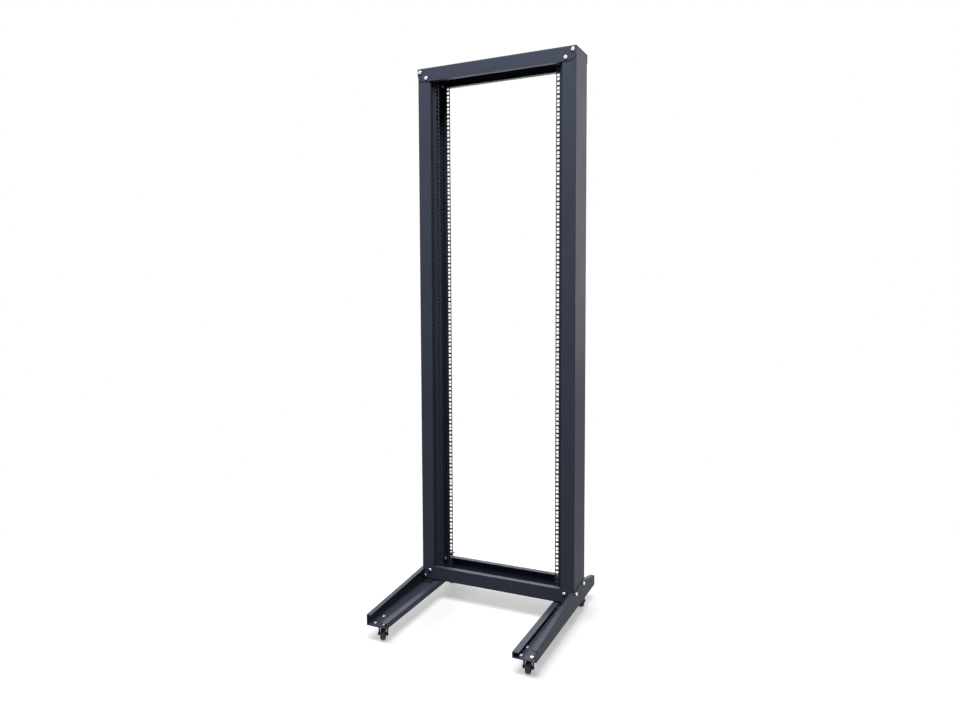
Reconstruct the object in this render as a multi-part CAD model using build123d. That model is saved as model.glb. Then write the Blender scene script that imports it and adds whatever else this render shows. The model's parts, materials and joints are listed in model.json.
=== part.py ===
from build123d import *
import math
import os

# A two post open frame rack: two folded steel uprights, each with two perforated rails,
# joined by a header and a bottom beam, on two open channel feet with four swivel casters.
# X runs across the rack, Y from the toes to the heels, Z up. The origin is on the floor,
# under the middle of the feet. Lengths are in millimetres.

# Rack standard: three square holes a unit, in one column each side
UNITS = 42
UNIT = 44.45
HOLE = 9.5
HOLE_INSET = 6.35
HOLES_A_UNIT = 3
CLEAR_WIDTH = 450.0
COLUMN_INSET = 7.55
BAND_CLEARANCE = 0.5
EAR_ROOM = 2.5

# Sheet thicknesses and the inside radius of every fold
UPRIGHT_GAUGE = 2.0
RAIL_GAUGE = 2.0
MEMBER_GAUGE = 2.0
FOOT_GAUGE = 3.0
FOLD_RADIUS = 2.0
FOLD_GAP = 1.0

# Uprights and rails
UPRIGHT_DEPTH = 148.0
UPRIGHT_FLANGE = 49.0
UPRIGHT_RETURN = 18.0
RAIL_RECESS = 22.0
RAIL_WIDTH = 27.0
SIDE_HOLE = 5.5
SIDE_HOLE_COUNT = 8
SIDE_HOLE_UNITS = 5.25

# Header and bottom beam
HEADER_HEIGHT = 50.0
BEAM_HEIGHT = 51.0
BEAM_GAP = 2.0
MEMBER_CORNER = 25.0

# Feet
FOOT_LENGTH = 730.0
FOOT_REACH = 442.0
TOE_HEIGHT = 38.0
HEEL_HEIGHT = 37.0
PEAK_HEIGHT = 73.0
PEAK_SETBACK = 115.0
PEAK_RADIUS = 20.0
INNER_WALL_HEIGHT = 20.0
OUTER_LIP = 16.0
INNER_LIP = 21.0

# Casters
TOE_CASTER_INSET = 53.0
HEEL_CASTER_INSET = 83.0
PLATE_WIDTH = 54.0
PLATE_LENGTH = 78.0
PLATE_GAUGE = 2.5
PLATE_CORNER = 6.0
RACE_RADIUS = 20.0
RACE_HEIGHT = 4.5
SWIVEL_GAP = 0.3
KINGPIN_RADIUS = 5.0
KINGPIN_HEAD_RADIUS = 8.0
KINGPIN_HEAD_HEIGHT = 2.0
RUNNING_CLEARANCE = 0.08
FORK_GAUGE = 2.5
CROWN_LENGTH = 36.0
CROWN_CLEARANCE = 5.2
LEG_END_RADIUS = 7.0
TRAIL = 18.0
WHEEL_RADIUS = 21.0
WHEEL_WIDTH = 16.0
WHEEL_SIDE_GAP = 5.5
SHOULDER = 3.0
WEB_WIDTH = 9.0
HUB_RADIUS = 5.5
HUB_GAP = 0.3
AXLE_RADIUS = 3.0
AXLE_END = 2.0
AXLE_SEAT_CLEARANCE = 0.1
HEADINGS = {"front_left": 18.0, "front_right": 7.0, "rear_left": 22.0, "rear_right": 36.0}

# Places worked out from the sizes above
OUTER_FOLD = FOLD_RADIUS + UPRIGHT_GAUGE
FRONT = FOOT_REACH - FOOT_LENGTH / 2
BACK = FRONT + UPRIGHT_DEPTH
MEMBER_LIP = MEMBER_GAUGE + RAIL_RECESS - EAR_ROOM
LIP_EDGE = CLEAR_WIDTH / 2
COLUMN = LIP_EDGE + COLUMN_INSET
RETURN_FACE = LIP_EDGE + RAIL_WIDTH
RAIL_FACE = RETURN_FACE - RAIL_GAUGE
WEB_FACE = RETURN_FACE + UPRIGHT_FLANGE
FOOT_FACE = WEB_FACE + FOOT_GAUGE
CROWN_BASE = 2 * WHEEL_RADIUS + CROWN_CLEARANCE
CROWN_TOP = CROWN_BASE + FORK_GAUGE
RACE_BASE = CROWN_TOP + SWIVEL_GAP
PLATE_BASE = RACE_BASE + RACE_HEIGHT
CASTER_HEIGHT = PLATE_BASE + PLATE_GAUGE
FLOOR = CASTER_HEIGHT + FOOT_GAUGE
INNER_WALL_TOP = CASTER_HEIGHT + INNER_WALL_HEIGHT
BEAM_BASE = INNER_WALL_TOP + BEAM_GAP
BAND_BASE = BEAM_BASE + BEAM_HEIGHT + BAND_CLEARANCE
BAND_TOP = BAND_BASE + UNITS * UNIT
HEADER_BASE = BAND_TOP + BAND_CLEARANCE
RACK_TOP = HEADER_BASE + HEADER_HEIGHT
UPRIGHT_BASE = FLOOR + FOLD_RADIUS
UPRIGHT_TOP = RACK_TOP - MEMBER_GAUGE - FOLD_RADIUS
RAIL_BASE = INNER_WALL_TOP + FOLD_GAP
LEG_GAP = WHEEL_WIDTH / 2 + WHEEL_SIDE_GAP
FORK_HALF = LEG_GAP + FORK_GAUGE


def save(shape, name):
    shape.label = name
    export_step(shape, os.path.join("parts", name + ".step"))


def folded(outline, radii, gauge, side):
    """The section of a sheet whose one face follows the outline, with a radius at each fold."""
    path = FilletPolyline(*outline, radius=radii)
    return make_face(offset(path, amount=gauge, side=side))


def block(x, y, z):
    """A box between pairs of limits."""
    corner = (min(x), min(y), min(z))
    return Pos(*corner) * Box(
        abs(x[1] - x[0]), abs(y[1] - y[0]), abs(z[1] - z[0]), align=(Align.MIN, Align.MIN, Align.MIN)
    )


def hole_heights():
    """Heights of the hole centres: spaced 15.875, 15.875 and 12.7 in each unit."""
    step = (UNIT - 2 * HOLE_INSET) / (HOLES_A_UNIT - 1)
    return [
        BAND_BASE + unit * UNIT + HOLE_INSET + hole * step
        for unit in range(UNITS)
        for hole in range(HOLES_A_UNIT)
    ]


def right_upright():
    """A folded channel that is open to the bay, split beside its folds into web, flanges and returns."""
    outline = [
        (RETURN_FACE, FRONT + UPRIGHT_RETURN),
        (RETURN_FACE, FRONT),
        (WEB_FACE, FRONT),
        (WEB_FACE, BACK),
        (RETURN_FACE, BACK),
        (RETURN_FACE, BACK - UPRIGHT_RETURN),
    ]
    section = folded(outline, OUTER_FOLD, UPRIGHT_GAUGE, Side.LEFT)
    post = extrude(Pos(0, 0, UPRIGHT_BASE) * section, UPRIGHT_TOP - UPRIGHT_BASE)
    drill = Rot(0, 90, 0) * Cylinder(SIDE_HOLE / 2, 4 * UPRIGHT_GAUGE)
    middle = (FRONT + BACK) / 2
    for index in range(SIDE_HOLE_COUNT):
        post -= Pos(WEB_FACE, middle, BAND_TOP - index * SIDE_HOLE_UNITS * UNIT) * drill
    web_zone = block(
        (WEB_FACE - OUTER_FOLD, WEB_FACE), (FRONT + OUTER_FOLD, BACK - OUTER_FOLD), (0, RACK_TOP)
    )
    return_zone = block((RETURN_FACE, RETURN_FACE + OUTER_FOLD), (FRONT, BACK), (0, RACK_TOP))
    front_flange, rear_flange = (post - web_zone - return_zone).solids().sort_by(Axis.Y)
    front_return, rear_return = (post & return_zone).solids().sort_by(Axis.Y)
    return {
        "web": post & web_zone, "front_flange": front_flange, "rear_flange": rear_flange,
        "front_return": front_return, "rear_return": rear_return,
    }


def right_front_rail():
    """An angle on the upright's front return; its face turned to the bay carries the square holes."""
    back = FRONT + RAIL_RECESS + RAIL_GAUGE
    outline = [(RETURN_FACE, FRONT + OUTER_FOLD), (RETURN_FACE, back), (LIP_EDGE, back)]
    section = folded(outline, FOLD_RADIUS + RAIL_GAUGE, RAIL_GAUGE, Side.LEFT)
    rail = extrude(Pos(0, 0, RAIL_BASE) * section, UPRIGHT_TOP - RAIL_BASE)
    punches = [
        Pos(COLUMN, back - RAIL_GAUGE / 2, height) * Box(HOLE, 2 * RAIL_GAUGE, HOLE)
        for height in hole_heights()
    ]
    return rail - punches


def across(shape):
    """The same piece for the rack's left side."""
    return mirror(shape, about=Plane.YZ)


def turned_back(shape):
    """The same piece for the uprights' rear face."""
    return mirror(shape, about=Plane.XZ.offset(-(FRONT + BACK) / 2))


def cross_member(height, web_half):
    """A lipped channel, open below, whose walls run on as ears over the uprights' flanges."""
    near = FRONT - MEMBER_GAUGE
    far = BACK + MEMBER_GAUGE
    fold = FOLD_RADIUS + MEMBER_GAUGE
    lipped = folded(
        [(near + MEMBER_LIP, 0), (near, 0), (near, height), (far, height), (far, 0), (far - MEMBER_LIP, 0)],
        fold, MEMBER_GAUGE, Side.RIGHT,
    )
    plain = folded([(near, 0), (near, height), (far, height), (far, 0)], fold, MEMBER_GAUGE, Side.RIGHT)
    lip_half = RAIL_FACE - FOLD_GAP
    middle = extrude(Plane.YZ * lipped, lip_half, both=True)
    walls = extrude(Plane.YZ * plain, WEB_FACE, both=True)
    front_view = Pos(0, height / 2) * Rectangle(2 * WEB_FACE, height)
    front_view = fillet(front_view.vertices().group_by(Axis.Y)[0], MEMBER_CORNER)
    walls &= extrude(Plane.XZ * front_view, FOOT_LENGTH, both=True)
    member = middle + walls
    if web_half < WEB_FACE:
        for side in (-1, 1):
            member -= block((side * web_half, side * FOOT_FACE), (FRONT, BACK), (height - fold, 2 * height))
    return member


def header():
    return Pos(0, 0, HEADER_BASE) * cross_member(HEADER_HEIGHT, WEB_FACE)


def bottom_beam():
    """The header's section turned over; its web stops short of the rails."""
    member = cross_member(BEAM_HEIGHT, LIP_EDGE - FOLD_GAP)
    return Pos(0, 0, BEAM_BASE + BEAM_HEIGHT) * mirror(member, about=Plane.XY)


def right_foot():
    """A channel open above and at both ends, with a tall tapered outer wall and a low inner one."""
    toe = -FOOT_LENGTH / 2
    heel = FOOT_LENGTH / 2
    outer = FOOT_FACE
    inner = LIP_EDGE
    base = CASTER_HEIGHT
    peak = FRONT + PEAK_SETBACK
    side_view = make_face(Polyline(
        (toe, 0), (toe, TOE_HEIGHT), (peak, PEAK_HEIGHT), (heel, HEEL_HEIGHT), (heel, 0), close=True
    ))
    side_view = fillet(side_view.vertices().sort_by(Axis.Y)[-1], PEAK_RADIUS)
    lip_view = side_view - Pos(0, -FOOT_GAUGE) * side_view
    at_side = Plane((outer, 0, base), x_dir=(0, 1, 0), z_dir=(1, 0, 0))
    outer_wall = extrude(at_side * side_view, -FOOT_GAUGE)
    outer_lip = extrude(at_side * lip_view, -OUTER_LIP)
    floor = block((inner, outer), (toe, heel), (base, base + FOOT_GAUGE))
    inner_wall = block((inner, inner + FOOT_GAUGE), (toe, heel), (base, INNER_WALL_TOP))
    lip_base = INNER_WALL_TOP - FOOT_GAUGE
    inner_lip = block((inner, inner + INNER_LIP), (toe, heel), (lip_base, INNER_WALL_TOP))
    seat = (FRONT - MEMBER_GAUGE - FOLD_GAP, BACK + MEMBER_GAUGE + FOLD_GAP)
    notch = block((inner + FOOT_GAUGE, outer - FOOT_GAUGE), seat, (FLOOR, 2 * INNER_WALL_TOP))
    foot = floor + outer_wall + inner_wall + (outer_lip + inner_lip - notch)
    long_edges = foot.edges().filter_by(Axis.Y)
    outer_folds = long_edges.filter_by_position(Axis.Z, base - FOOT_GAUGE / 2, base + FOOT_GAUGE / 2)
    inner_folds = long_edges.filter_by_position(Axis.Z, base + FOOT_GAUGE / 2, FLOOR + FOOT_GAUGE / 2)
    foot = fillet(outer_folds, FOLD_RADIUS + FOOT_GAUGE)
    return fillet(inner_folds, FOLD_RADIUS)


def caster_plate():
    """The mounting plate with its bearing race and the kingpin that the fork hangs on."""
    plate = extrude(RectangleRounded(PLATE_WIDTH, PLATE_LENGTH, PLATE_CORNER), PLATE_GAUGE)
    race = Cylinder(RACE_RADIUS, RACE_HEIGHT, align=(Align.CENTER, Align.CENTER, Align.MAX))
    head_top = CROWN_BASE - SWIVEL_GAP
    pin = Cylinder(KINGPIN_RADIUS, PLATE_BASE - head_top, align=(Align.CENTER, Align.CENTER, Align.MAX))
    head = Cylinder(
        KINGPIN_HEAD_RADIUS, KINGPIN_HEAD_HEIGHT, align=(Align.CENTER, Align.CENTER, Align.MAX)
    )
    return Pos(0, 0, PLATE_BASE) * (plate + race + pin) + Pos(0, 0, head_top) * head


def caster_fork():
    """A pressed fork: a crown round the kingpin and two legs that lean back to the axle."""
    eye = Pos(-TRAIL, WHEEL_RADIUS) * Circle(LEG_END_RADIUS)
    crown = Polyline(
        (-CROWN_LENGTH / 2, CROWN_BASE), (-CROWN_LENGTH / 2, CROWN_TOP),
        (CROWN_LENGTH / 2, CROWN_TOP), (CROWN_LENGTH / 2, CROWN_BASE), close=True,
    )
    side_view = make_hull(eye.edges() + crown.edges())
    at_side = Plane((0, 0, 0), x_dir=(0, 1, 0), z_dir=(1, 0, 0))
    fork = extrude(at_side * side_view, FORK_HALF, both=True)
    fork -= block((-LEG_GAP, LEG_GAP), (-CROWN_LENGTH * 2, CROWN_LENGTH * 2), (0, CROWN_BASE))
    top_edges = fork.edges().filter_by(Axis.Y).group_by(Axis.Z)[-1]
    fork = fillet(top_edges, FORK_GAUGE)
    fork -= Pos(0, 0, CROWN_TOP) * Cylinder(KINGPIN_RADIUS + RUNNING_CLEARANCE, 4 * FORK_GAUGE)
    cross_hole = Rot(0, 90, 0) * Cylinder(AXLE_RADIUS + AXLE_SEAT_CLEARANCE, 4 * FORK_HALF)
    return fork - Pos(0, -TRAIL, WHEEL_RADIUS) * cross_hole


def caster_axle():
    """A pin through both legs and the hub, its ends standing out for their fasteners."""
    pin = Cylinder(AXLE_RADIUS, 2 * (FORK_HALF + AXLE_END))
    return Pos(0, -TRAIL, WHEEL_RADIUS) * Rot(0, 90, 0) * pin


def caster_wheel():
    """A moulded wheel: a bevelled tread, dished sides and a hub that nearly fills the fork."""
    hub_half = LEG_GAP - HUB_GAP
    half = WHEEL_WIDTH / 2
    bore = AXLE_RADIUS + RUNNING_CLEARANCE
    upper = [
        (WHEEL_RADIUS, half - SHOULDER), (WHEEL_RADIUS - SHOULDER, half),
        (HUB_RADIUS, WEB_WIDTH / 2), (HUB_RADIUS, hub_half), (bore, hub_half),
    ]
    lower = [(radius, -height) for radius, height in reversed(upper)]
    wheel = revolve(make_face(Polyline(*upper, *lower, close=True)), Axis.Y)
    return Pos(0, -TRAIL, WHEEL_RADIUS) * Rot(0, 0, 90) * wheel


os.makedirs("parts", exist_ok=True)

for piece, sheet in right_upright().items():
    save(sheet, "right_upright_" + piece)
    save(across(sheet), "left_upright_" + piece)
rail = right_front_rail()
foot = right_foot()
save(rail, "right_front_rail")
save(across(rail), "left_front_rail")
save(turned_back(rail), "right_rear_rail")
save(across(turned_back(rail)), "left_rear_rail")
save(header(), "top_header")
save(bottom_beam(), "bottom_beam")
save(foot, "right_foot")
save(across(foot), "left_foot")

CASTER_X = (LIP_EDGE + FOOT_FACE) / 2
CASTER_Y = {"front": TOE_CASTER_INSET - FOOT_LENGTH / 2, "rear": FOOT_LENGTH / 2 - HEEL_CASTER_INSET}
for corner, heading in HEADINGS.items():
    end, side = corner.split("_")
    place = Pos(CASTER_X if side == "right" else -CASTER_X, CASTER_Y[end], 0)
    turned = place * Rot(0, 0, heading)
    save(place * caster_plate(), corner + "_caster_plate")
    save(turned * caster_fork(), corner + "_caster_fork")
    save(turned * caster_axle(), corner + "_caster_axle")
    save(turned * caster_wheel(), corner + "_caster_wheel")
    centre = Vector(0, -TRAIL, 0).rotate(Axis.Z, heading) + place.position
    print(corner, "wheel centre", round(centre.X, 3), round(centre.Y, 3), "heading", heading)
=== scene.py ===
# %% [markdown]
# # A two post open frame rack in a white studio
# The rack comes in as finished CAD solids: folded uprights, perforated rails, a header, a beam,
# two feet and four casters. This lesson gives them their paint, adds the screws, nuts and washers
# that hold them together, dresses the casters, and sets the camera and the light. Everything is
# in metres, with X across the rack, Y from the toes to the heels and Z up.

# %% Load the frame
import json
import math

import bmesh
import bpy
from mathutils import Matrix, Vector


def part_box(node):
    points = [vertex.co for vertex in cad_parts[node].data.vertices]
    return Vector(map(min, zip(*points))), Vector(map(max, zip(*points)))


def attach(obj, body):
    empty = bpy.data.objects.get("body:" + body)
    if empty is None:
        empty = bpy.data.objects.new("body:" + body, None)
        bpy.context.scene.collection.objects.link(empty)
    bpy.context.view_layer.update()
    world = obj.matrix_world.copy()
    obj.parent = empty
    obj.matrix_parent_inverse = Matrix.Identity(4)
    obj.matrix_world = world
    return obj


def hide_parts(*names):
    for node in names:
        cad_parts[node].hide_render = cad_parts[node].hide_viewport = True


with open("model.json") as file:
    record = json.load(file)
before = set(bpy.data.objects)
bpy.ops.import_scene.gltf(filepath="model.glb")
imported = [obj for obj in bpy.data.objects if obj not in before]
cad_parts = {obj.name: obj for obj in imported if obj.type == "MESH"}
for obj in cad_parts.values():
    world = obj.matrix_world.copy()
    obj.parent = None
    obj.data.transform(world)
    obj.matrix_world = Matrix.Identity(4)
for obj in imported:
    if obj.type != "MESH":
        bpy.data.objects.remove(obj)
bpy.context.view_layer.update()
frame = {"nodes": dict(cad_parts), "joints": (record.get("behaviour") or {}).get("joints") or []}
for item in bpy.context.selected_objects:
    item.select_set(False)

# %% [markdown]
# ## Where things are
# The screws have to sit on the sheets that they hold, so their places are measured from the
# solids and not typed in. Each node's box gives its lowest and highest corner. The box of a flat
# sheet also gives its thickness, and so does the step up to a sheet that lies on another.

# %% Measure the solids
CORNERS = ("front_left", "front_right", "rear_left", "rear_right")
SIDES = (-1, 1)

header_low, header_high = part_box("top_header")
beam_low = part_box("bottom_beam")[0]
flange_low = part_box("right_upright_front_flange")[0]
web_low, web_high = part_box("right_upright_web")
foot_low, foot_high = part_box("right_foot")
upright_gauge = web_high.x - web_low.x
member_gauge = flange_low.y - header_low.y
foot_gauge = foot_high.x - web_high.x
joints = {joint["name"]: joint for joint in frame["joints"]}
print("rack top", round(header_high.z, 4), "upright's front", round(flange_low.y, 4))
print("sheets", [round(gauge, 4) for gauge in (upright_gauge, member_gauge, foot_gauge)])

# %% [markdown]
# ## The camera
# The picture was taken from the front right at chest height, with a lens of about 30 mm. Its
# vertical lines stay nearly parallel, so the camera looks only 4 degrees down. It could be aimed
# at the rack by a constraint, but the picture also leans a little, so the three turns are set one
# after the other. The picture is cropped off the lens's centre, which a sideways shift repeats.
# Up and down the shift is only a fiftieth of the width, because every other view keeps it and
# should still show the whole rack.

# %% Make the camera
CAMERA_PLACE = (1.0512, -2.6986, 1.2442)
CAMERA_TURN = 29.0561
CAMERA_TILT = 4.1489
CAMERA_ROLL = -0.7799
SENSOR_WIDTH = 36.0
LENS = 29.9053
LENS_SHIFT = (0.1066, -0.02)

camera_data = bpy.data.cameras.new("studio_camera")
camera_data.sensor_width = SENSOR_WIDTH
camera_data.lens = LENS
camera_data.shift_x, camera_data.shift_y = LENS_SHIFT
camera = bpy.data.objects.new("studio_camera", camera_data)
turned = Matrix.Rotation(math.radians(CAMERA_TURN), 4, "Z")
tilted = Matrix.Rotation(math.radians(90 - CAMERA_TILT), 4, "X")
rolled = Matrix.Rotation(math.radians(CAMERA_ROLL), 4, "Z")
camera.matrix_world = Matrix.Translation(CAMERA_PLACE) @ turned @ tilted @ rolled
bpy.context.scene.collection.objects.link(camera)
bpy.context.scene.camera = camera
print("camera at", CAMERA_PLACE)

# %% [markdown]
# ## The softboxes
# The photograph is lit from high up: the front faces are lightest at the top and fade towards the
# feet. One wide softbox hangs high over the front. Two stand behind: the folded lips mirror one
# of them and the upright's web the other, which gives both their paler tone. A weak one fills the
# left side, which the picture doesn't show. The Standard view transform shows a colour as it is
# written.

# %% Hang the softboxes
def softbox(name, place, aim, size, power):
    """An area light that points at a place and doesn't show itself."""
    data = bpy.data.lights.new(name, "AREA")
    data.shape = "RECTANGLE"
    data.size, data.size_y = size
    data.energy = power
    lamp = bpy.data.objects.new(name, data)
    lamp.location = place
    lamp.rotation_euler = (Vector(aim) - Vector(place)).to_track_quat("-Z", "Y").to_euler()
    lamp.visible_camera = False
    bpy.context.scene.collection.objects.link(lamp)
    print("hung", name, "with", power, "watts")


bpy.context.scene.view_settings.view_transform = "Standard"
softbox("front_softbox", place=(0.5, -1.5, 4.3), aim=(0.0, 0.1, 1.4), size=(2.4, 2.0), power=190)
softbox("lip_softbox", place=(-1.3, 3.7, 1.9), aim=(-0.1, -0.1, 0.1), size=(3.0, 1.6), power=88)
softbox("web_softbox", place=(1.4, 3.7, 1.9), aim=(0.3, 0.1, 1.3), size=(1.6, 2.6), power=26)
softbox("left_softbox", place=(-3.4, -0.2, 2.4), aim=(0.0, 0.1, 1.0), size=(1.8, 2.0), power=45)

# %% [markdown]
# ## A small language for materials
# A material is a graph of nodes. It could be wired link by link, but a formula for a gloss would
# then take a dozen lines. Three small classes keep it readable. `Signal` wraps the output of a
# node, so that sums and products are written as Python expressions, and each one adds its Math
# node. `Graph` has one method that makes any other node, and `Finish` is the graph of a material,
# with the few things that this rack's finishes are made of: noise, a mix, colour, gloss and bump.

# %% Signals
class Signal:
    """An output in a graph that can be added, multiplied and compared."""

    def __init__(self, graph, socket):
        self.graph = graph
        self.socket = socket

    def _math(self, operation, first, second):
        return self.graph.node("Math", {"operation": operation}, {0: first, 1: second})

    def __add__(self, other):
        return self._math("ADD", self, other)

    def __radd__(self, other):
        return self._math("ADD", other, self)

    def __mul__(self, other):
        return self._math("MULTIPLY", self, other)

    def __rmul__(self, other):
        return self._math("MULTIPLY", other, self)

    def most(self, other):
        """The larger of two signals."""
        return self._math("MAXIMUM", self, other)


print("signals ready")


# %% Graphs
class Graph:
    """A tree of shader nodes."""

    def __init__(self, tree):
        self.tree = tree

    def node(self, kind, settings=None, sockets=None, output=0):
        """A new node, with its settings and then its sockets filled, as the signal that it gives."""
        made = self.tree.nodes.new("ShaderNode" + kind)
        for name, value in (settings or {}).items():
            setattr(made, name, value)
        for key, value in (sockets or {}).items():
            self.feed(made.inputs[key], value)
        return Signal(self, made.outputs[output])

    def feed(self, socket, value):
        """Links a signal to a socket, or sets the socket's own value."""
        if isinstance(value, Signal):
            self.tree.links.new(value.socket, socket)
        else:
            socket.default_value = value

    def showing(self):
        """1 for a ray from the camera, a mirror or glass, and 0 for one that only lights."""
        rays = self.node("LightPath").socket.node.outputs
        kinds = ("Is Camera Ray", "Is Glossy Ray", "Is Transmission Ray")
        seen, mirrored, through = [Signal(self, rays[kind]) for kind in kinds]
        return seen.most(mirrored).most(through)


print("graphs ready")


# %% Finishes
# A Mix node has sockets for every kind of value, and these are the ones for a colour.
MIX_SHARE, MIX_FIRST, MIX_SECOND, MIX_COLOUR = 0, 6, 7, 2


class Finish(Graph):
    """A material whose patterns lie still on the piece."""

    def __init__(self, name, **constants):
        self.material = bpy.data.materials.new(name)
        self.material.use_nodes = True
        super().__init__(self.material.node_tree)
        self.shader = self.tree.nodes["Principled BSDF"]
        self.places = self.node("TexCoord", output="Object")
        for socket, value in constants.items():
            self.shader.inputs[socket.replace("_", " ")].default_value = value

    def noise(self, size, detail, roughness=0.5):
        """Values about 0.5 that vary over distances of about this size in metres."""
        sockets = {"Vector": self.places, "Scale": 1 / size, "Detail": detail, "Roughness": roughness}
        return self.node("TexNoise", None, sockets, "Fac")

    def between(self, share, dark, light):
        """A colour between two others."""
        sockets = {MIX_SHARE: share, MIX_FIRST: dark, MIX_SECOND: light}
        return self.node("Mix", {"data_type": "RGBA"}, sockets, MIX_COLOUR)

    def colour(self, value):
        self.feed(self.shader.inputs["Base Color"], value)

    def gloss(self, value):
        self.feed(self.shader.inputs["Roughness"], value)

    def bump(self, height, depth, strength):
        sockets = {"Height": height, "Distance": depth, "Strength": strength}
        self.feed(self.shader.inputs["Normal"], self.node("Bump", None, sockets, "Normal"))


def rgb(red, green, blue):
    """A linear colour with full alpha."""
    return (red, green, blue, 1.0)


print("finishes ready")

# %% [markdown]
# ## A white world
# The background of the picture is plain white. More light would burn the rack out, so the world
# is white only to the camera, in reflections and through glass. Where it only lights, it is much
# dimmer, and the insides of the channels stay dark.

# %% Build the world
LIGHT_LEVEL = 0.05
WHITE_LEVEL = 1.0

world = bpy.data.worlds.new("white_studio")
world.use_nodes = True
bpy.context.scene.world = world
sky = Graph(world.node_tree)
level = sky.node(
    "MapRange", None, {"Value": sky.showing(), "To Min": LIGHT_LEVEL, "To Max": WHITE_LEVEL}, "Result"
)
background = sky.tree.nodes["Background"]
sky.feed(background.inputs["Color"], rgb(1, 1, 1))
sky.feed(background.inputs["Strength"], level)
print("world lights at", LIGHT_LEVEL, "and shows at", WHITE_LEVEL)

# %% [markdown]
# ## The floor
# The floor is pale and matt. It is lit a little below white, and the camera sees the rest added
# as its own light, so that the floor is white where nothing shades it and the rack's soft shadow
# still shows. To light that bounces it is nearly black, or it would brighten the feet and the
# folds from below. Far from the rack it fades into the white world, and no horizon is drawn.

# %% Lay the floor
FLOOR_REACH = 14.0
FLOOR_SIDES = 96
FLOOR_FADE = (0.9, 2.6)
FLOOR_GLOW = 0.36
FLOOR_TONE = rgb(0.68, 0.68, 0.68)
FLOOR_BOUNCE = rgb(0.08, 0.08, 0.08)

bpy.ops.mesh.primitive_circle_add(vertices=FLOOR_SIDES, radius=FLOOR_REACH, fill_type="NGON")
floor = bpy.context.object
floor.name = "studio_floor"
floor_finish = Finish("pale_floor", Roughness=0.9)
distance = floor_finish.node("VectorMath", {"operation": "LENGTH"}, {0: floor_finish.places}, "Value")
fade = floor_finish.node(
    "MapRange", {"interpolation_type": "SMOOTHSTEP"},
    {"Value": distance, "From Min": FLOOR_FADE[0], "From Max": FLOOR_FADE[1]}, "Result",
)
shows = floor_finish.showing()
floor_finish.colour(floor_finish.between(shows, FLOOR_BOUNCE, FLOOR_TONE))
matt = Signal(floor_finish, floor_finish.shader.outputs[0])
glow = floor_finish.node("Emission", None, {"Strength": FLOOR_GLOW * shows})
white = floor_finish.node("Emission", None, {"Strength": WHITE_LEVEL})
lit = floor_finish.node("AddShader", None, {0: matt, 1: glow})
mixed = floor_finish.node("MixShader", None, {0: fade * shows, 1: lit, 2: white})
floor_finish.feed(floor_finish.tree.nodes["Material Output"].inputs["Surface"], mixed)
floor.data.materials.append(floor_finish.material)
floor.select_set(False)
print("floor laid, reach", FLOOR_REACH)

# %% [markdown]
# ## Powder coat
# The frame is steel sheet with a dark blue grey powder coat. The powder melts into a satin film
# with a fine orange peel, and its tone drifts a little over a long sheet. The peel is a bump about
# a millimetre wide, too shallow to change the outline, and a wider noise shifts colour and gloss.
# An image could hold the same pattern, but noise has no seams and needs no unwrapping. The mirror
# strength is low, because the white room would otherwise wash out each face that is seen from the
# side. The rails get the same coat in darker tones, which paints the shade of the recess behind the
# flanges into their colour.

# %% Paint the frame
PAINT_DARK = rgb(0.043, 0.049, 0.073)
PAINT_LIGHT = rgb(0.057, 0.067, 0.099)
# The rail tones are the frame's coat made darker: painted shade for the recess behind the flanges.
RAIL_SHADED_DARK = rgb(0.028, 0.032, 0.045)
RAIL_SHADED_LIGHT = rgb(0.038, 0.043, 0.060)
CASTER_DARK = rgb(0.010, 0.010, 0.011)
CASTER_LIGHT = rgb(0.020, 0.020, 0.022)
PAINT_MIRROR = 0.07
DRIFT_SIZE = 0.16
GRAIN_SIZE = 0.0016
DRIFT_SHARE = 0.75
GLOSS_DRIFT = 0.08
GLOSS_GRAIN = 0.04
PEEL_SIZE = 0.0011
PEEL_DEPTH = 0.00006
PEEL_STRENGTH = 0.55


def painted(name, dark, light, roughness):
    """Satin powder coat between two tones, with a mean roughness."""
    finish = Finish(name, Specular_IOR_Level=PAINT_MIRROR)
    drift = finish.noise(DRIFT_SIZE, detail=2.0)
    grain = finish.noise(GRAIN_SIZE, detail=2.0, roughness=0.6)
    finish.colour(finish.between(DRIFT_SHARE * drift + (1 - DRIFT_SHARE) * grain, dark, light))
    least = roughness - (GLOSS_DRIFT + GLOSS_GRAIN) / 2
    finish.gloss(least + GLOSS_DRIFT * drift + GLOSS_GRAIN * grain)
    finish.bump(finish.noise(PEEL_SIZE, detail=1.5), PEEL_DEPTH, PEEL_STRENGTH)
    return finish.material


frame_paint = painted("dark_powder_coat", PAINT_DARK, PAINT_LIGHT, roughness=0.50)
# The rails' darker coat is painted shade, the same powder coat as the frame.
rail_paint_painted_shade = painted("rail_powder_coat_painted_shade", RAIL_SHADED_DARK, RAIL_SHADED_LIGHT, roughness=0.48)
caster_paint = painted("black_caster_paint", CASTER_DARK, CASTER_LIGHT, roughness=0.36)
print("paints mixed")

# %% [markdown]
# ## Zinc
# The screws, nuts and axles are bright zinc, a metal whose tone and gloss vary in small crystals.
# One noise drives both, because on a plated face they change together from crystal to crystal.

# %% Mix the zinc
ZINC_DARK = rgb(0.62, 0.63, 0.65)
ZINC_LIGHT = rgb(0.86, 0.87, 0.89)
CRYSTAL_SIZE = 0.0012
CRYSTAL_GLOSS = (0.20, 0.16)
PLATING_SIZE = 0.0005
PLATING_DEPTH = 0.00002
PLATING_STRENGTH = 0.4


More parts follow.
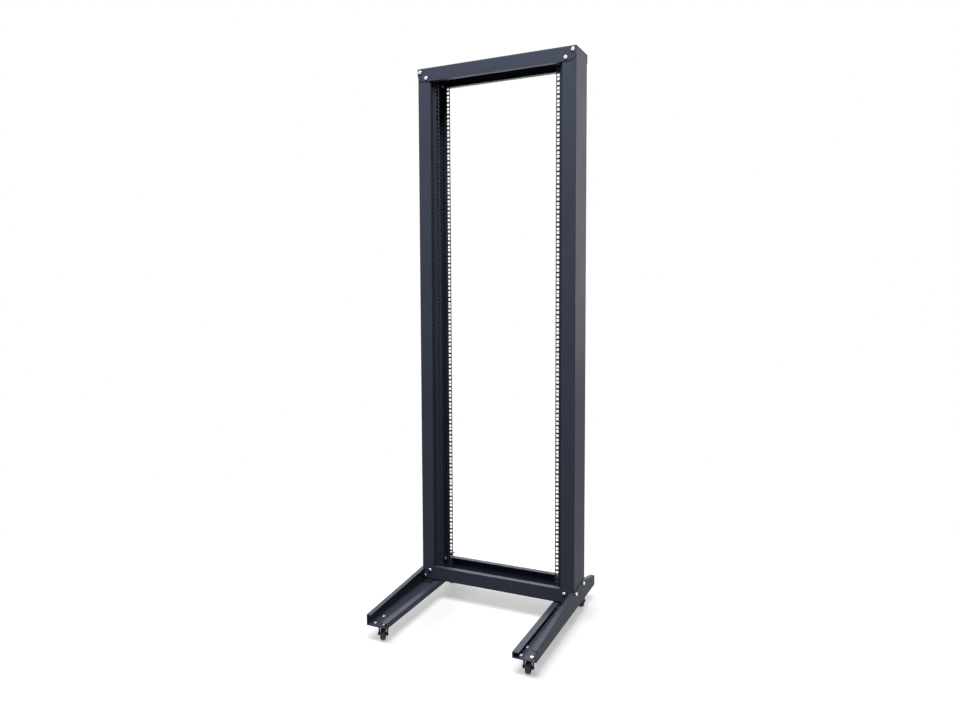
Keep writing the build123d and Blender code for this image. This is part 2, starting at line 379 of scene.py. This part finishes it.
def plated(name):
    """Bright zinc with a fine mottle."""
    finish = Finish(name, Metallic=1.0)
    crystals = finish.noise(CRYSTAL_SIZE, detail=3.0, roughness=0.6)
    least, spread = CRYSTAL_GLOSS
    finish.colour(finish.between(crystals, ZINC_DARK, ZINC_LIGHT))
    finish.gloss(least + spread * crystals)
    finish.bump(finish.noise(PLATING_SIZE, detail=2.0), PLATING_DEPTH, PLATING_STRENGTH)
    return finish.material


zinc = plated("bright_zinc")
print("zinc mixed")

# %% [markdown]
# ## Nylon and moulded plastic
# The wheels are black nylon, matt, with a trace of dust, and the cup washers are black moulded
# plastic. Both come out of a mould with a fine skin, so one function makes both.

# %% Mix the plastics
NYLON_DARK = rgb(0.012, 0.012, 0.013)
NYLON_LIGHT = rgb(0.034, 0.034, 0.036)
WASHER_DARK = rgb(0.008, 0.008, 0.009)
WASHER_LIGHT = rgb(0.014, 0.014, 0.015)
PLASTIC_MIRROR = 0.45
DUST_SIZE = 0.006
DUST_GLOSS = 0.12
SKIN_SIZE = 0.0004
SKIN_DEPTH = 0.00003
SKIN_STRENGTH = 0.5


def moulded(name, dark, light, roughness):
    """Matt moulded plastic with dust on a fine skin."""
    finish = Finish(name, Specular_IOR_Level=PLASTIC_MIRROR)
    dust = finish.noise(DUST_SIZE, detail=4.0, roughness=0.65)
    finish.colour(finish.between(dust, dark, light))
    finish.gloss(roughness + DUST_GLOSS * dust)
    finish.bump(finish.noise(SKIN_SIZE, detail=2.0), SKIN_DEPTH, SKIN_STRENGTH)
    return finish.material


wheel_nylon = moulded("black_nylon", NYLON_DARK, NYLON_LIGHT, roughness=0.42)
washer_plastic = moulded("washer_plastic", WASHER_DARK, WASHER_LIGHT, roughness=0.5)
print("plastics mixed")

# %% [markdown]
# ## Materials on the solids
# Each solid's name says what it is, so its finish follows from the last word. The solids are
# never edited: they come with normals of their own, which already shade the folds as curves and
# keep the sheets flat.

# %% Dress the solids
# The rails get the darker coat, which paints the shade of their recess.
FINISH_OF = {
    "web": frame_paint, "flange": frame_paint, "return": frame_paint, "header": frame_paint,
    "beam": frame_paint, "foot": frame_paint, "rail": rail_paint_painted_shade, "plate": caster_paint,
    "fork": caster_paint, "axle": zinc, "wheel": wheel_nylon,
}

for name, node in frame["nodes"].items():
    node.data.materials.clear()
    node.data.materials.append(FINISH_OF[name.rsplit("_", 1)[-1]])
print("finishes given to", len(frame["nodes"]), "solids")

# %% [markdown]
# ## Picking faces and edges
# Every new piece is made with Blender's own operators, as by hand. By hand one would click on a
# face. A script picks it by a test instead: of a face's centre and normal, or of an edge's ends.

# %% Picking helpers
LEVEL = 0.99


def mark(piece, kind, test):
    """In edit mode, selects the faces or edges that pass a test, and nothing else."""
    bpy.ops.mesh.select_mode(type=kind)
    mesh = bmesh.from_edit_mesh(piece.data)
    for part in mesh.faces if kind == "FACE" else mesh.edges:
        part.select = bool(test(part))
    mesh.select_flush_mode()
    bmesh.update_edit_mesh(piece.data)


def pick(piece, test):
    """Selects faces by their centre and normal."""
    mark(piece, "FACE", lambda face: test(face.calc_center_median(), face.normal))


def pick_edges(piece, test):
    """Selects edges by their two ends."""
    mark(piece, "EDGE", lambda edge: test([end.co for end in edge.verts]))


def is_top(centre, normal):
    """Passes level faces that look up."""
    return normal.z > LEVEL


def is_underside(centre, normal):
    """Passes level faces that look down."""
    return normal.z < -LEVEL


print("picking helpers ready")

# %% [markdown]
# ## Models and their copies
# Each kind of small piece is modelled once, standing at the origin, and then copied to every
# place where the rack has one. Linked copies would be lighter, but each piece needs its own mesh
# with its place in it, so that patterns stay fixed to the piece and the export finds it there.

# %% Modelling helpers
SMOOTH_ANGLE = 30


def cylinder(radius, height, base=0.0, sides=32):
    """A new cylinder that stands with its foot at a height, in edit mode."""
    bpy.ops.mesh.primitive_cylinder_add(
        vertices=sides, radius=radius, depth=height, location=(0, 0, base + height / 2)
    )
    bpy.ops.object.transform_apply(location=True)
    bpy.ops.object.mode_set(mode="EDIT")
    return bpy.context.object


def modelled(piece, name):
    """Leaves edit mode and gives a finished model its name."""
    bpy.ops.object.mode_set(mode="OBJECT")
    piece.name = name
    print(name, "faces:", len(piece.data.polygons))
    return piece


def active(piece):
    """Makes a piece the only selected one."""
    for other in bpy.context.selected_objects:
        other.select_set(False)
    piece.select_set(True)
    bpy.context.view_layer.objects.active = piece


def copy_to(model, place, facing):
    """A copy of a model with its own mesh, its +Z turned to face a direction."""
    copied = bpy.data.objects.new(model.name, model.data.copy())
    bpy.context.scene.collection.objects.link(copied)
    turn = Vector((0, 0, 1)).rotation_difference(Vector(facing))
    copied.matrix_world = Matrix.Translation(Vector(place)) @ turn.to_matrix().to_4x4()
    return copied


print("modelling helpers ready")


# %% Fitting helpers
def joined(copies):
    """One object from several copies."""
    active(copies[0])
    for other in copies[1:]:
        other.select_set(True)
    if len(copies) > 1:
        bpy.ops.object.join()
    return bpy.context.object


def settle(piece, name, finish):
    """Applies a piece's place, smooths it by angle, and gives it a name and a finish."""
    active(piece)
    bpy.ops.object.transform_apply(location=True, rotation=True, scale=True)
    bpy.ops.object.shade_smooth_by_angle(angle=math.radians(SMOOTH_ANGLE))
    piece.name = piece.data.name = name
    piece.data.materials.clear()
    piece.data.materials.append(finish)
    piece.select_set(False)


def fitted(model, places, name, finish, body="rack"):
    """Copies of a model at several places, as one piece that rides on a body."""
    piece = joined([copy_to(model, place, facing) for place, facing in places])
    settle(piece, name, finish)
    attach(piece, body)
    return piece


print("fitting helpers ready")

# %% [markdown]
# ## The pan head screw
# Large pan head screws hold the header, the beam, the feet and the caster plates. The head could
# be spun from a profile, but a cylinder with a wide bevel on its upper rim gives the same dome in
# one step. A cross is cut into it with two tapered blades. The shank is drawn down out of the
# underside, far enough to reach through both sheets and the nut.

# %% Model the screw
HEAD_RADIUS = 0.0066
HEAD_HEIGHT = 0.0042
HEAD_DOME = HEAD_HEIGHT * 0.62
SHANK_RADIUS = 0.0029
SCREW_REACH = 0.0125


def pan_head():
    """A screw that stands on z = 0 with its shank below."""
    screw = cylinder(HEAD_RADIUS, HEAD_HEIGHT)
    pick(screw, is_top)
    bpy.ops.mesh.bevel(offset=HEAD_DOME, segments=5, profile=0.5, affect="EDGES")
    pick(screw, is_underside)
    bpy.ops.mesh.inset(thickness=HEAD_RADIUS - SHANK_RADIUS)
    bpy.ops.mesh.extrude_region_move(TRANSFORM_OT_translate={"value": (0, 0, -SCREW_REACH)})
    return screw


screw_model = modelled(pan_head(), "screw_model")

# %% Cut the cross
BLADE_LENGTH = HEAD_RADIUS * 1.05
BLADE_WIDTH = HEAD_RADIUS * 0.22
BLADE_HEIGHT = HEAD_HEIGHT * 1.1
BLADE_TAPER = 0.45


def blade(turn):
    """A bar across the top of the head, narrower below."""
    bpy.ops.mesh.primitive_cube_add(size=1, location=(0, 0, HEAD_HEIGHT))
    bar = bpy.context.object
    bar.scale = (BLADE_LENGTH, BLADE_WIDTH, BLADE_HEIGHT)
    bar.rotation_euler.z = math.radians(turn)
    bpy.ops.object.transform_apply(location=True, rotation=True, scale=True)
    bpy.ops.object.mode_set(mode="EDIT")
    pick(bar, is_underside)
    bpy.ops.transform.resize(value=(BLADE_TAPER, BLADE_TAPER, 1))
    bpy.ops.object.mode_set(mode="OBJECT")
    return bar


def cut(piece, tool):
    """Cuts a tool's shape out of a piece and removes the tool."""
    active(piece)
    change = piece.modifiers.new("cut", "BOOLEAN")
    change.object = tool
    change.solver = "EXACT"
    bpy.ops.object.modifier_apply(modifier=change.name)
    bpy.data.objects.remove(tool)


for tool in [blade(turn) for turn in (0, 90)]:
    cut(screw_model, tool)
print("screw faces with its cross:", len(screw_model.data.polygons))

# %% [markdown]
# ## The cup washer
# The screws on the outside of the frame sit in thin black cup washers, which show as dark rings.
# A bevel rounds the rim. Two insets make the edge of the cup and its wall, and its floor is then
# moved down, which keeps the washer one closed mesh.

# %% Model the washer
WASHER_RADIUS = 0.0088
WASHER_HEIGHT = 0.0012
WASHER_ROUND = WASHER_HEIGHT * 0.6
WASHER_EDGE = WASHER_RADIUS * 0.1
WASHER_WALL = WASHER_RADIUS * 0.06
CUP_DEPTH = WASHER_HEIGHT * 0.35


def cup_washer():
    """A washer with a rounded rim and a sunk seat, on z = 0."""
    washer = cylinder(WASHER_RADIUS, WASHER_HEIGHT)
    pick(washer, is_top)
    bpy.ops.mesh.bevel(offset=WASHER_ROUND, segments=3, affect="EDGES")
    pick(washer, is_top)
    bpy.ops.mesh.inset(thickness=WASHER_EDGE)
    bpy.ops.mesh.inset(thickness=WASHER_WALL)
    bpy.ops.transform.translate(value=(0, 0, -CUP_DEPTH))
    return washer


washer_model = modelled(cup_washer(), "washer_model")

# %% [markdown]
# ## The flange nut
# On the inside a hexagon nut closes each joint: six sides, both rims broken by a small bevel, a
# sunk top and a wide round flange below. A cylinder with six sides is already the hexagon, so the
# nut and its flange are two cylinders, joined.

# %% Model the nut
NUT_RADIUS = 0.0058
NUT_HEIGHT = 0.005
NUT_BREAK = NUT_HEIGHT * 0.08
NUT_EDGE = NUT_RADIUS * 0.3
NUT_SINK = NUT_HEIGHT * 0.12
FLANGE_RADIUS = 0.0068
FLANGE_HEIGHT = 0.0012
FLANGE_ROUND = FLANGE_HEIGHT * 0.5


def hexagon():
    """The nut's hexagon, which stands on the flange."""
    nut = cylinder(NUT_RADIUS, NUT_HEIGHT, FLANGE_HEIGHT, sides=6)
    bpy.ops.mesh.select_all(action="SELECT")
    bpy.ops.mesh.bevel(offset=NUT_BREAK, segments=2, affect="EDGES")
    pick(nut, is_top)
    bpy.ops.mesh.inset(thickness=NUT_EDGE)
    bpy.ops.transform.translate(value=(0, 0, -NUT_SINK))
    bpy.ops.object.mode_set(mode="OBJECT")
    return nut


def flange():
    """The nut's round foot, with its upper rim rounded."""
    foot = cylinder(FLANGE_RADIUS, FLANGE_HEIGHT)
    pick(foot, is_top)
    bpy.ops.mesh.bevel(offset=FLANGE_ROUND, segments=3, affect="EDGES")
    bpy.ops.object.mode_set(mode="OBJECT")
    return foot


nut_model = modelled(joined([hexagon(), flange()]), "nut_model")

# %% [markdown]
# ## Screws on the header and the beam
# Two screws hold each ear to an upright, on the front and on the back: one near the outer top
# corner of the header and one further in and lower. The beam has the same pair upside down. The
# nuts sit on the inner face of the upright's flange. All the screws of one member are joined into
# one piece, because they share a finish and a body and are never shown apart.

# %% Fastening helpers
SEAT_HEIGHT = WASHER_HEIGHT - CUP_DEPTH


def lifted(places, height):
    """The same places moved out along their facing."""
    return [(Vector(spot) + Vector(facing) * height, facing) for spot, facing in places]


def inward(places, depth):
    """The same places moved in through the sheets, and facing in."""
    return [(Vector(spot) - Vector(facing) * depth, -Vector(facing)) for spot, facing in places]


def fasten(name, places, grip):
    """Screws in washers outside and nuts inside, through sheets with a total thickness."""
    fitted(screw_model, lifted(places, SEAT_HEIGHT), name + "_screws", zinc)
    fitted(washer_model, places, name + "_washers", washer_plastic)
    fitted(nut_model, inward(places, grip), name + "_nuts", zinc)
    print(name, "fastened with", len(places), "screws through", round(grip, 4))


# %% Fasten the header and the beam
# Each screw's distance from the upright's web and from the member's own edge.
HEADER_SCREWS = ((0.0105, 0.0140), (0.0355, 0.0375))
BEAM_SCREWS = ((0.0115, 0.0130), (0.0340, 0.0370))
EAR_FACES = ((header_low.y, -1), (header_high.y, 1))


def ear_places(screws, edge, upward):
    """Places and directions of the eight screws of one cross member."""
    return [
        ((side * (web_high.x - inset), face, edge + upward * rise), (0, out, 0))
        for face, out in EAR_FACES
        for side in SIDES
        for inset, rise in screws
    ]


fasten("header", ear_places(HEADER_SCREWS, header_high.z, -1), member_gauge + upright_gauge)
fasten("beam", ear_places(BEAM_SCREWS, beam_low.z, 1), member_gauge + upright_gauge)

# %% [markdown]
# ## Screws on the feet
# Each foot's tall outer wall is screwed to the web of its upright at two places. They are given
# by their distance from the upright's front and their height over the foot's floor.

# %% Fasten the feet
FOOT_SCREWS = ((0.018, 0.057), (0.120, 0.062))

foot_places = [
    ((side * foot_high.x, flange_low.y + along, foot_low.z + height), (side, 0, 0))
    for side in SIDES
    for along, height in FOOT_SCREWS
]
fasten("foot", foot_places, foot_gauge + upright_gauge)

# %% [markdown]
# ## Screws through the caster plates
# Four screws go down through the floor of the foot into each caster plate. Their domed heads
# are what shines inside the open toe, and they have no washers. Below, a nut closes each one
# under the plate. The plate's box gives the four places, so nothing is typed in twice.

# %% Fasten the casters
PLATE_SCREWS = (0.0185, 0.0310)
PLATE_GAUGE = 0.0025

for corner in CORNERS:
    plate_low, plate_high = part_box(corner + "_caster_plate")
    middle = (plate_low + plate_high) / 2
    spots = [
        (middle.x + across * PLATE_SCREWS[0], middle.y + along * PLATE_SCREWS[1])
        for across in (-1, 1)
        for along in (-1, 1)
    ]
    tops = [((x, y, plate_high.z + foot_gauge), (0, 0, 1)) for x, y in spots]
    under = [((x, y, plate_high.z - PLATE_GAUGE), (0, 0, -1)) for x, y in spots]
    fitted(screw_model, tops, corner + "_plate_screws", zinc)
    fitted(nut_model, under, corner + "_plate_nuts", zinc)
    print(corner, "caster fastened with", len(tops), "screws")

# %% [markdown]
# ## The caster wheels
# A real wheel is moulded with a thin web between its hub and its rim, and its tread is rounded.
# The solid one has plain bevels. The dressed one starts as a cylinder. Inset and extrude hollow
# both sides down to the web and raise the hub, bridging opens the bore, and wide bevels round
# the tread. A spun profile would do as well, but this way each step can be seen on the mesh.

# %% Model a wheel
WHEEL_RADIUS = 0.02093
WHEEL_HALF = 0.008
RIM_RADIUS = 0.0172
WEB_HALF = 0.0045
HUB_RADIUS = 0.0055
HUB_HALF = 0.0132
BORE_RADIUS = 0.00308


def hollow(wheel, way):
    """Sinks the web, raises the hub and marks out the bore on one side."""
    pick(wheel, lambda centre, normal: normal.z * way > LEVEL)
    bpy.ops.mesh.inset(thickness=WHEEL_RADIUS - RIM_RADIUS)
    sink = -way * (WHEEL_HALF - WEB_HALF)
    bpy.ops.mesh.extrude_region_move(TRANSFORM_OT_translate={"value": (0, 0, sink)})
    bpy.ops.mesh.inset(thickness=RIM_RADIUS - HUB_RADIUS)
    rise = way * (HUB_HALF - WEB_HALF)
    bpy.ops.mesh.extrude_region_move(TRANSFORM_OT_translate={"value": (0, 0, rise)})
    bpy.ops.mesh.inset(thickness=HUB_RADIUS - BORE_RADIUS)


def bore(wheel):
    """Opens the hole for the axle between the hub's two ends."""
    def is_end(centre, normal):
        return abs(normal.z) > LEVEL and centre.xy.length < BORE_RADIUS / 2

    pick(wheel, is_end)
    bpy.ops.mesh.bridge_edge_loops()


print("wheel steps ready")

# %% Round the wheel
NEAR = 1e-5
RIM_BREAK = 0.0006
TREAD_ROUND = 0.0030


def on_ring(ends, radius, height):
    """True for an edge of the circle with this radius, on either side of the wheel."""
    return all(
        abs(end.xy.length - radius) < NEAR and abs(abs(end.z) - height) < NEAR for end in ends
    )


def is_rim(ends):
    """True for the edges of the rim's inner ring and the hub's outer ring."""
    return on_ring(ends, RIM_RADIUS, WHEEL_HALF) or on_ring(ends, HUB_RADIUS, HUB_HALF)


def is_tread(ends):
    """True for the edges of the tread's two rings."""
    return on_ring(ends, WHEEL_RADIUS, WHEEL_HALF)


def caster_wheel():
    """A wheel about the Z axis, through the origin."""
    wheel = cylinder(WHEEL_RADIUS, 2 * WHEEL_HALF, -WHEEL_HALF, sides=64)
    for way in (1, -1):
        hollow(wheel, way)
    bore(wheel)
    pick_edges(wheel, is_rim)
    bpy.ops.mesh.bevel(offset=RIM_BREAK, segments=2, affect="EDGES")
    pick_edges(wheel, is_tread)
    bpy.ops.mesh.bevel(offset=TREAD_ROUND, segments=6, affect="EDGES")
    return wheel


wheel_model = modelled(caster_wheel(), "wheel_model")

# %% [markdown]
# ## Wheels in their forks
# Each wheel's place and direction come from the joint that it turns on, so it spins about its own
# axle in every pose. It replaces the solid wheel, which is hidden but kept.

# %% Put the wheels in their forks
for corner in CORNERS:
    spin = joints[corner + "_wheel_spin"]
    wheel = fitted(
        wheel_model, [(spin["pos_m"], spin["axis"])], corner + "_wheel",
        wheel_nylon, corner + "_roller",
    )
    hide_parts(corner + "_caster_wheel")
    print(corner, "wheel at", [round(value, 4) for value in spin["pos_m"]])

# %% [markdown]
# ## Axle ends
# The axle is a pin through both legs. Each end is riveted over into a low black head, which
# covers the pin's end and lies flat on the leg. The head is the screw's dome once more, only
# lower. How far out it sits is measured on the fork, along the axle.

# %% Cap the axles
RIVET_RADIUS = 0.0052
RIVET_HEIGHT = 0.0023
RIVET_DOME = RIVET_HEIGHT * 0.7


def rivet_head():
    """A low dome that stands on z = 0."""
    head = cylinder(RIVET_RADIUS, RIVET_HEIGHT)
    pick(head, is_top)
    bpy.ops.mesh.bevel(offset=RIVET_DOME, segments=4, affect="EDGES")
    return head


rivet_model = modelled(rivet_head(), "rivet_model")
for corner in CORNERS:
    fork = frame["nodes"][corner + "_caster_fork"]
    spin = joints[corner + "_wheel_spin"]
    pivot, along = Vector(spin["pos_m"]), Vector(spin["axis"])
    half = max(abs((vertex.co - pivot).dot(along)) for vertex in fork.data.vertices)
    ends = [(pivot + along * half * way, along * way) for way in (-1, 1)]
    fitted(rivet_model, ends, corner + "_axle_heads", caster_paint, corner + "_swivel")
    print(corner, "axle capped at", round(half, 4), "from its middle")

# %% [markdown]
# ## Finishing
# The models that were copied are removed.

# %% Remove the models
for model in (screw_model, washer_model, nut_model, wheel_model, rivet_model):
    bpy.data.objects.remove(model)
